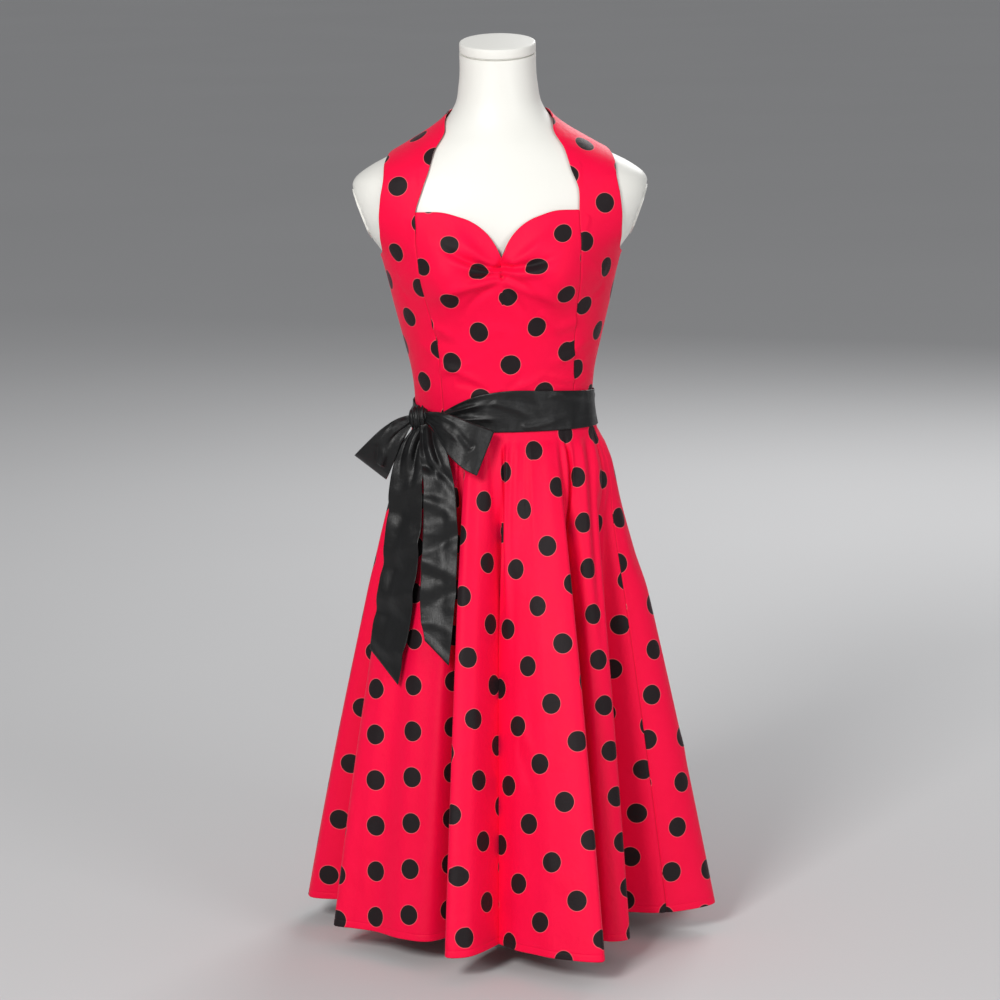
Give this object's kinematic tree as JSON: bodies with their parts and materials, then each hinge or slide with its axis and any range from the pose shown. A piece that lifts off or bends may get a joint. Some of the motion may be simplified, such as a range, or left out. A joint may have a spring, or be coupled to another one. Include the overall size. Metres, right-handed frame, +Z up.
{
  "type": "a-line dress on dress form",
  "caption": "Halter-neck A-line dress with a sweetheart bodice, full folded skirt and a tied satin sash, worn by a limbless dress form on a low round stand.",
  "frame": {"origin": "centre of the round base's underside, on the floor", "axes": "+Z up along the form's pole, -Y towards the front of the dress, +X towards its wearer's left"},
  "size_m": [0.552, 0.5789, 1.1931],
  "materials": {
    "cotton": "woven cotton with a soft sheen, printed with near-black dots ringed in pale pink",
    "satin": "satin",
    "form": "matte",
    "stand": "satin",
    "steel": "brushed"
  },
  "bodies": {
    "dress": {"front_centre": "cotton", "side_front_left": "cotton", "side_front_right": "cotton", "back_left": "cotton", "back_right": "cotton", "skirt_front": "cotton", "skirt_back_left": "cotton", "skirt_back_right": "cotton", "zip_tape": "cotton", "nape_button": "cotton", "sash_band": "satin", "bow_knot": "satin", "bow_loop_left": "satin", "bow_loop_right": "satin", "bow_tail_left": "satin", "bow_tail_right": "satin", "zip_slider": "steel", "form_torso": "form", "neck_cap": "form", "arm_plate_left": "form", "arm_plate_right": "form", "pole_socket": "stand", "stand_pole": "stand", "stand_base": "stand"},
    "zip_pull": {"zip_pull": "steel"}
  },
  "joints": [
    {"name": "pull_hinge", "type": "hinge", "parent": "dress", "child": "zip_pull", "pos_m": [0, 0.10602, 0.8549], "axis": [1, 0, 0], "range_deg": [0, 150]}
  ]
}
